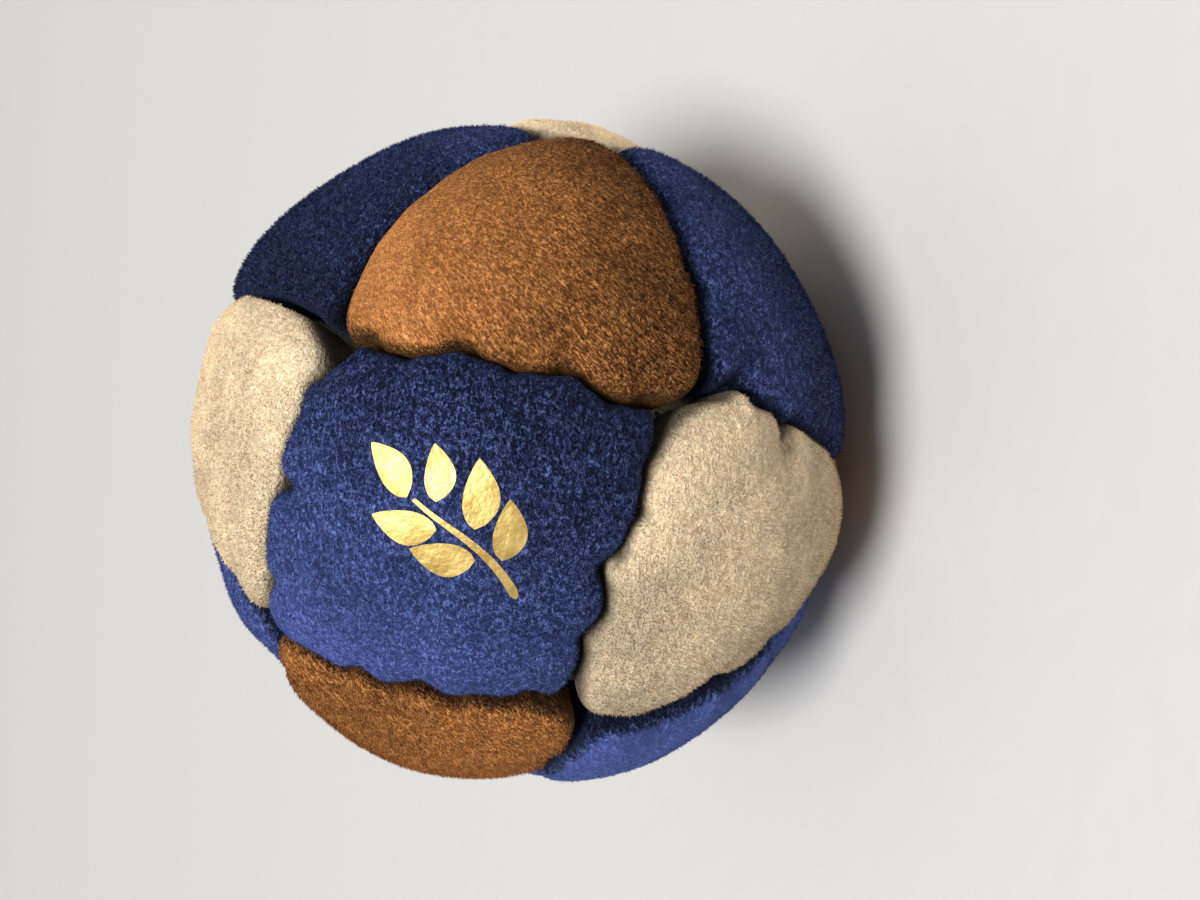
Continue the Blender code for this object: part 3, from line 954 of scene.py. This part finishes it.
def standing_nap():
    """Geometry nodes that raise fibres over a cloth, by its stored nap and its stored tone with
    painted light and shade.
    """
    inputs = {"Cloth": "Geometry", "Suede": "Material", "Seed": "Int", "Combed": "Vector"}
    for label in ("Density", "Fibre length", "Fibre width", "Curl size", "Curl", "Stray"):
        inputs[label] = "Float"
    tree = GeometryTree("standing nap", inputs)
    given = tree.given
    stored = {}
    for name in ("nap", "brushed_and_painted_shade"):
        value = tree.node("GeometryNodeInputNamedAttribute", {"Name": name}, data_type="FLOAT")
        stored[name] = value["Attribute"]
    nap, brushed_and_painted_shade = stored["nap"], stored["brushed_and_painted_shade"]
    density = tree.sum("MULTIPLY", nap, given["Density"])
    roots = {"Mesh": given["Cloth"], "Density": density, "Seed": given["Seed"]}
    roots = tree.node("GeometryNodeDistributePointsOnFaces", roots, distribute_method="RANDOM")
    stand = tree.mapped(brushed_and_painted_shade, (RUFFLED, SMOOTH), (1.2, 0.35))
    place = tree.node("GeometryNodeInputPosition")[0]
    curls = tree.noise(place, tree.sum("DIVIDE", 1.0, given["Curl size"]), swirl=CURL_SWIRL)
    curl = tree.vector("SUBTRACT", curls["Color"], (0.5, 0.5, 0.5))
    spread = {0: (-1, -1, -1), 1: (1, 1, 1), "Seed": given["Seed"]}
    stray = tree.node("FunctionNodeRandomValue", spread, data_type="FLOAT_VECTOR")[0]
    stray = tree.vector("SCALE", stray, scale=given["Stray"])
    lie = tree.vector("ADD", tree.vector("SCALE", curl, scale=given["Curl"]), stray)
    lie = tree.vector("ADD", lie, given["Combed"])
    lie = tree.vector("ADD", lie, tree.vector("SCALE", roots["Normal"], scale=stand))
    turn = tree.node("FunctionNodeAlignRotationToVector", {"Vector": lie}, axis="Z")["Rotation"]
    fibre = {"Vertices": 3, "Depth": given["Fibre length"], "Radius Top": 0.0}
    fibre["Radius Bottom"] = tree.sum("DIVIDE", given["Fibre width"], 2.0)
    fibre = tree.node("GeometryNodeMeshCone", fibre)["Mesh"]
    sizes = {2: 0.6, 3: 1.2, "Seed": given["Seed"]}
    size = tree.node("FunctionNodeRandomValue", sizes, data_type="FLOAT")[1]
    worn = tree.mapped(brushed_and_painted_shade, (RUFFLED, SMOOTH), (1.1, 0.75))
    thinned = tree.mapped(nap, (0, 1), (0.35, 1))
    tuft = tree.sum("ABSOLUTE", tree.sum("SUBTRACT", curls["Fac"], 0.5))
    tuft = tree.mapped(tuft, (0, 1.3 * CLEFT), (0.3, 1.05))
    for factor in (worn, thinned, tuft):
        size = tree.sum("MULTIPLY", size, factor)
    copies = {"Points": roots["Points"], "Instance": fibre, "Rotation": turn, "Scale": size}
    copies = tree.node("GeometryNodeInstanceOnPoints", copies)["Instances"]
    tree.finish([given["Cloth"], copies], given["Suede"])
    return tree


def raise_nap():
    tree = standing_nap()
    for number, (name, (piece, slot)) in enumerate(pieces.items()):
        length, combed = NAPS[name.split("_")[-2]]
        density = FIBRES_HIDDEN if name in HIDDEN_PANELS else FIBRES_IN_VIEW
        tree.apply(
            piece,
            Suede=piece.data.materials[0],
            Seed=number,
            Combed=combed,
            Density=density / MM**2,
            Fibre_length=length * MM,
            Fibre_width=FIBRE_WIDTH * MM,
            Curl_size=CURL_SIZE * MM,
            Curl=CURL,
            Stray=FIBRE_STRAY,
        )
        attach(piece, "root")
        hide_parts(name)


raise_nap()

# Seam threads
# Two-ply waxed thread in a running stitch, from one side of the two allowances to the
# other and back. It lies deep in each seam, drawn tight, and only its pull shows.
STITCH_RADIUS = 23.1
THREAD_DIAMETER = 0.5
THREAD_END = 2.5
THREAD_END_SHARE = 0.3
NEEDLE_REACH = 0.7
LINE_POINTS = 24
STEPS_PER_STITCH = 8
TWISTS_PER_STITCH = 3
NEEDLE_SHARPNESS = 3.0


def running_stitch():
    """Geometry nodes that sew a two-ply running stitch along each line of a mesh."""
    inputs = {"Seams": "Geometry", "Thread": "Material"}
    for label in ("Stitch length", "Thread diameter", "Needle reach", "Ball height", "Twists"):
        inputs[label] = "Float"
    tree = GeometryTree("running stitch", inputs)
    given = tree.given
    lines = tree.node("GeometryNodeMeshToCurve", {"Mesh": given["Seams"]})["Curve"]
    step = tree.sum("DIVIDE", given["Stitch length"], STEPS_PER_STITCH)
    lines = {"Curve": lines, "Length": step}
    lines = tree.node("GeometryNodeResampleCurve", lines, mode="LENGTH")["Curve"]
    plies = {"Geometry": lines, "Amount": 2}
    plies = tree.node("GeometryNodeDuplicateElements", plies, domain="SPLINE")
    gone = tree.node("GeometryNodeSplineParameter")["Length"]
    stitches = tree.sum("DIVIDE", gone, given["Stitch length"])
    swing = tree.sum("SINE", tree.sum("MULTIPLY", stitches, math.pi))
    swing = {"Value": tree.sum("MULTIPLY", swing, NEEDLE_SHARPNESS), "Min": -1.0}
    swing = tree.node("ShaderNodeClamp", swing)[0]
    middle = tree.node("ShaderNodeCombineXYZ", {"Z": given["Ball height"]})[0]
    outward = tree.vector("SUBTRACT", tree.node("GeometryNodeInputPosition")[0], middle)
    outward = tree.vector("NORMALIZE", outward)
    tangent = tree.node("GeometryNodeInputTangent")[0]
    sideways = tree.vector("NORMALIZE", tree.vector("CROSS_PRODUCT", tangent, outward))
    turn = tree.sum("MULTIPLY", tree.sum("MULTIPLY", stitches, given["Twists"]), 2 * math.pi)
    turn = tree.sum("ADD", turn, tree.sum("MULTIPLY", plies["Duplicate Index"], math.pi))
    ply_radius = tree.sum("DIVIDE", given["Thread diameter"], 4.0)
    across = tree.sum("MULTIPLY", tree.sum("COSINE", turn), ply_radius)
    across = tree.sum("ADD", across, tree.sum("MULTIPLY", swing, given["Needle reach"]))
    lift = tree.sum("MULTIPLY", tree.sum("SINE", turn), ply_radius)
    shift = tree.vector("SCALE", outward, scale=lift)
    shift = tree.vector("ADD", tree.vector("SCALE", sideways, scale=across), shift)
    sewn = {"Geometry": plies["Geometry"], "Offset": shift}
    sewn = tree.node("GeometryNodeSetPosition", sewn)["Geometry"]
    profile = {"Resolution": 6, "Radius": ply_radius}
    profile = tree.node("GeometryNodeCurvePrimitiveCircle", profile)["Curve"]
    solid = {"Curve": sewn, "Profile Curve": profile, "Fill Caps": True}
    tree.finish([tree.node("GeometryNodeCurveToMesh", solid)["Mesh"]], given["Thread"])
    return tree


def waxed_thread():
    """Navy thread: fine fibres along each ply, and a dull wax shine."""
    thread = Material("waxed thread")
    fibres = thread.noise(thread.place, 9000, 2, 0.6)["Fac"]
    return thread.finish({
        "Base Color": thread.tones(fibres, (0, (0.010, 0.011, 0.022)), (1, (0.034, 0.038, 0.080))),
        "Specular IOR Level": 0.35,
        "Roughness": thread.mapped(fibres, (0, 1), (0.45, 0.7)),
        "Normal": thread.bumped(fibres, 0.00004, 0.4),
    })


def add_threads():
    points, edges = [], []
    for seam in seams.values():
        margin = min(THREAD_END, THREAD_END_SHARE * seam.length) / SEAM_RADIUS
        whole = seam.length / SEAM_RADIUS
        turns = np.linspace(margin, whole - margin, LINE_POINTS)[:, None]
        line = STITCH_RADIUS * (np.cos(turns) * seam.start + np.sin(turns) * seam.across)
        edges += [(len(points) + i, len(points) + i + 1) for i in range(len(line) - 1)]
        points += list(line)
    mesh = bpy.data.meshes.new("seam_threads")
    mesh.from_pydata((np.array(points) * MM + (0, 0, CENTRE_HEIGHT * MM)).tolist(), edges, [])
    piece = bpy.data.objects.new("seam_threads", mesh)
    bpy.context.scene.collection.objects.link(piece)
    running_stitch().apply(
        piece,
        Thread=waxed_thread(),
        Stitch_length=STITCH_PITCH * MM,
        Thread_diameter=THREAD_DIAMETER * MM,
        Needle_reach=NEEDLE_REACH * MM,
        Ball_height=CENTRE_HEIGHT * MM,
        Twists=float(TWISTS_PER_STITCH),
    )
    piece.data.shade_smooth()
    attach(piece, "root")
    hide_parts(*[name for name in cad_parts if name.startswith("thread")])


add_threads()

# Sand filling
# Fine dry sand poured in through the last seam, filling the panels up to the turned-in
# allowances. It is loose, and takes the shape of whatever holds it.
FILLING_CLEARANCE = 0.5
FILLING_EDGE = (1.3, 4.5)
GRAIN_SIZE = 0.5
GRAIN_HEIGHT = 0.12


def sand():
    """Packed grains, each its own tone of straw, ochre or grey."""
    grainy = Material("sand")
    cells = {"Vector": grainy.place, "Scale": 1 / (GRAIN_SIZE * MM)}
    cells = grainy.node("ShaderNodeTexVoronoi", cells)
    straw = ((0, (0.30, 0.24, 0.17)), (1, (0.72, 0.62, 0.46)))
    return grainy.finish({
        "Base Color": grainy.tones(cells["Color"], *straw),
        "Roughness": 0.8,
        "Normal": grainy.bumped(cells["Distance"], GRAIN_HEIGHT * MM, 0.8, invert=True),
    })


def add_filling():
    ball = bmesh.new()
    bmesh.ops.create_icosphere(ball, subdivisions=6, radius=1)
    directions = unit([vertex.co for vertex in ball.verts])
    faces = [[vertex.index for vertex in face.verts] for face in ball.faces]
    ball.free()
    groove = ALLOWANCE_RADIUS - FILLING_CLEARANCE
    reach = np.full(len(directions), groove)
    low, high = FILLING_EDGE
    for panel in panels.values():
        share = np.clip((panel.measured(directions)[0] - low) / (high - low), 0, 1)
        inside = panel.crown(directions) - LINING_DEPTH - FILLING_CLEARANCE
        risen = groove + (inside - groove) * share**2 * (3 - 2 * share)
        reach = np.maximum(reach, np.where(share > 0, risen, 0))
    grainy = [noise.noise(Vector(place)) for place in directions * CROWN_RADIUS / GRAIN_SIZE]
    reach += GRAIN_HEIGHT * np.array(grainy)
    piece = new_mesh("loose_sand", directions * reach[:, None], faces)
    piece.data.materials.append(sand())
    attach(piece, "root")
    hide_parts("sand_filling")


add_filling()

# Table
# A smooth, pale, painted top, which the bag was laid on for the photograph.
TABLE_SIZE = 1.6
bpy.ops.mesh.primitive_plane_add(size=TABLE_SIZE)
table = bpy.context.object
table.name = "table"
paint = Material("table")
peel = paint.bumped(paint.noise(paint.place, 260, 2)["Fac"], 0.0004, 0.25)
table.data.materials.append(
    paint.finish({"Base Color": (0.63, 0.62, 0.60, 1), "Normal": peel})
)

# Light
# One broad lamp overhead, and a room that is brightest above. The backdrop is what the
# camera sees of it.
lamp = bpy.data.lights.new("overhead", "AREA")
lamp.shape = "DISK"
lamp.size = 0.65
lamp.energy = 39
lamp_object = bpy.data.objects.new("overhead", lamp)
lamp_object.location = (0.13, -0.82, 1.7)
lamp_object.rotation_euler = lamp_object.location.to_track_quat("Z", "Y").to_euler()
bpy.context.scene.collection.objects.link(lamp_object)
world = bpy.data.worlds.new("room")
world.use_nodes = True
room = Nodes(world.node_tree)
height = room.node("ShaderNodeTexCoord")["Generated"]
height = room.node("ShaderNodeSeparateXYZ", {0: height})["Z"]
overhead = room.mapped(height, (0.2, 1.0), (0.05, 0.45), interpolation_type="SMOOTHSTEP")
lighting = world.node_tree.nodes["Background"]
room.fill(lighting, {"Color": (1, 0.985, 0.965, 1), "Strength": overhead})
backdrop = room.node("ShaderNodeBackground", {"Color": (0.76, 0.75, 0.73, 1)})[0]
ray = room.node("ShaderNodeLightPath")
shown = room.sum("MAXIMUM", ray["Is Camera Ray"], ray["Is Glossy Ray"])
shown = room.sum("MAXIMUM", shown, ray["Is Transmission Ray"])
seen = room.node("ShaderNodeMixShader", {0: shown, 1: lighting.outputs[0], 2: backdrop})[0]
room.fill(world.node_tree.nodes["World Output"], {"Surface": seen})
bpy.context.scene.world = world

# Camera
# It looks down at the front of the bag, rolled a quarter turn. The ball is a little left
# of the middle of the picture.
AZIMUTH = math.radians(26)
ELEVATION = math.radians(29.3)
DISTANCE = 0.1345
LENS_PIXELS = 1602
PICTURE_WIDTH = 1200
PICTURE_MIDDLE = (600, 450)
BALL_MIDDLE = (516, 446)
SENSOR = 36
right = (BALL_MIDDLE[0] - PICTURE_MIDDLE[0]) / LENS_PIXELS
up = (PICTURE_MIDDLE[1] - BALL_MIDDLE[1]) / LENS_PIXELS
aim = Vector((right, up, -1)).normalized()
ahead = Vector((math.sin(AZIMUTH), -math.cos(AZIMUTH), 0)) * math.cos(ELEVATION)
back = ahead + Vector((0, 0, math.sin(ELEVATION)))
upward = Vector((math.cos(AZIMUTH), math.sin(AZIMUTH), 0))
turn = Matrix((upward.cross(back), upward, back)).transposed()
turn = turn @ Vector((0, 0, -1)).rotation_difference(aim).to_matrix().inverted()
camera = bpy.data.cameras.new("camera")
camera.sensor_width = SENSOR
camera.lens = LENS_PIXELS * SENSOR / PICTURE_WIDTH
camera.clip_start = 0.005
camera_object = bpy.data.objects.new("camera", camera)
middle = Vector((0, 0, CENTRE_HEIGHT * MM))
camera_object.matrix_world = Matrix.Translation(middle + back * DISTANCE) @ turn.to_4x4()
bpy.context.scene.collection.objects.link(camera_object)
bpy.context.scene.camera = camera_object
bpy.context.scene.view_settings.view_transform = "Standard"
